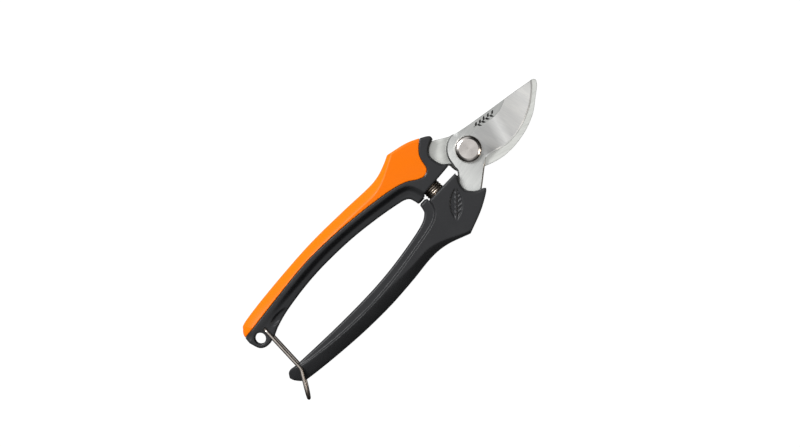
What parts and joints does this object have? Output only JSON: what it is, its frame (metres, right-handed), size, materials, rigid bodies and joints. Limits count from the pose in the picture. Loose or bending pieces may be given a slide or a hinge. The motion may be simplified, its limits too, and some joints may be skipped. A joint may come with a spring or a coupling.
{
  "type": "pruning shears",
  "caption": "One-hand bypass pruning shears with a curved blade over a hook, an orange and a black handle, a return spring and a wire latch, shut and latched.",
  "frame": {"origin": "on the pivot axis, at the bolt's flat end, which lies in the plane of the handles' back faces", "axes": "+Z along the pivot axis, from the nut to the bolt's head over the cutting blade; +X along the tool from the handles to the blade's tip; +Y towards the hook's handle, the one with the orange grip"},
  "size_m": [0.2101, 0.0617, 0.017],
  "materials": {
    "blade_steel": "ground and brushed stainless steel",
    "bolt_steel": "turned satin steel",
    "spring_wire": "oil-darkened drawn wire",
    "bush_bronze": "sintered bronze",
    "black_nylon": "fine moulded texture",
    "orange_grip": "soft satin overmould",
    "buffer_rubber": "matt rubber",
    "locking_nylon": "natural nylon"
  },
  "bodies": {
    "hook_side": {"counter_blade": "blade_steel", "hook_handle_body": "black_nylon", "hook_handle_grip": "orange_grip", "hook_pin_front": "bolt_steel", "hook_pin_rear": "bolt_steel", "hook_spring_cup": "bolt_steel", "hook_stop_buffer": "buffer_rubber", "pivot_bolt": "bolt_steel", "pivot_washer": "bolt_steel", "pivot_nut": "bolt_steel", "nut_lock_ring": "locking_nylon", "return_spring": "spring_wire"},
    "blade_side": {"cutting_blade": "blade_steel", "pivot_bush": "bush_bronze", "blade_handle_body": "black_nylon", "blade_pin_front": "bolt_steel", "blade_pin_rear": "bolt_steel", "blade_spring_cup": "bolt_steel", "blade_stop_buffer": "buffer_rubber"},
    "latch": {"wire_latch": "spring_wire"}
  },
  "joints": [
    {"name": "shears_pivot", "type": "hinge", "parent": "hook_side", "child": "blade_side", "pos_m": [0, 0, 0.0085], "axis": [0, 0, 1], "range_deg": [0, 30], "deforming": ["return_spring"]},
    {"name": "latch_swing", "type": "hinge", "parent": "hook_side", "child": "latch", "pos_m": [-0.1457, 0.0123, 0.0085], "axis": [0, 0, -1], "range_deg": [0, 90]}
  ],
  "couplings": [
    {"joint": "latch_swing", "follows": "shears_pivot", "ratio": 3}
  ]
}
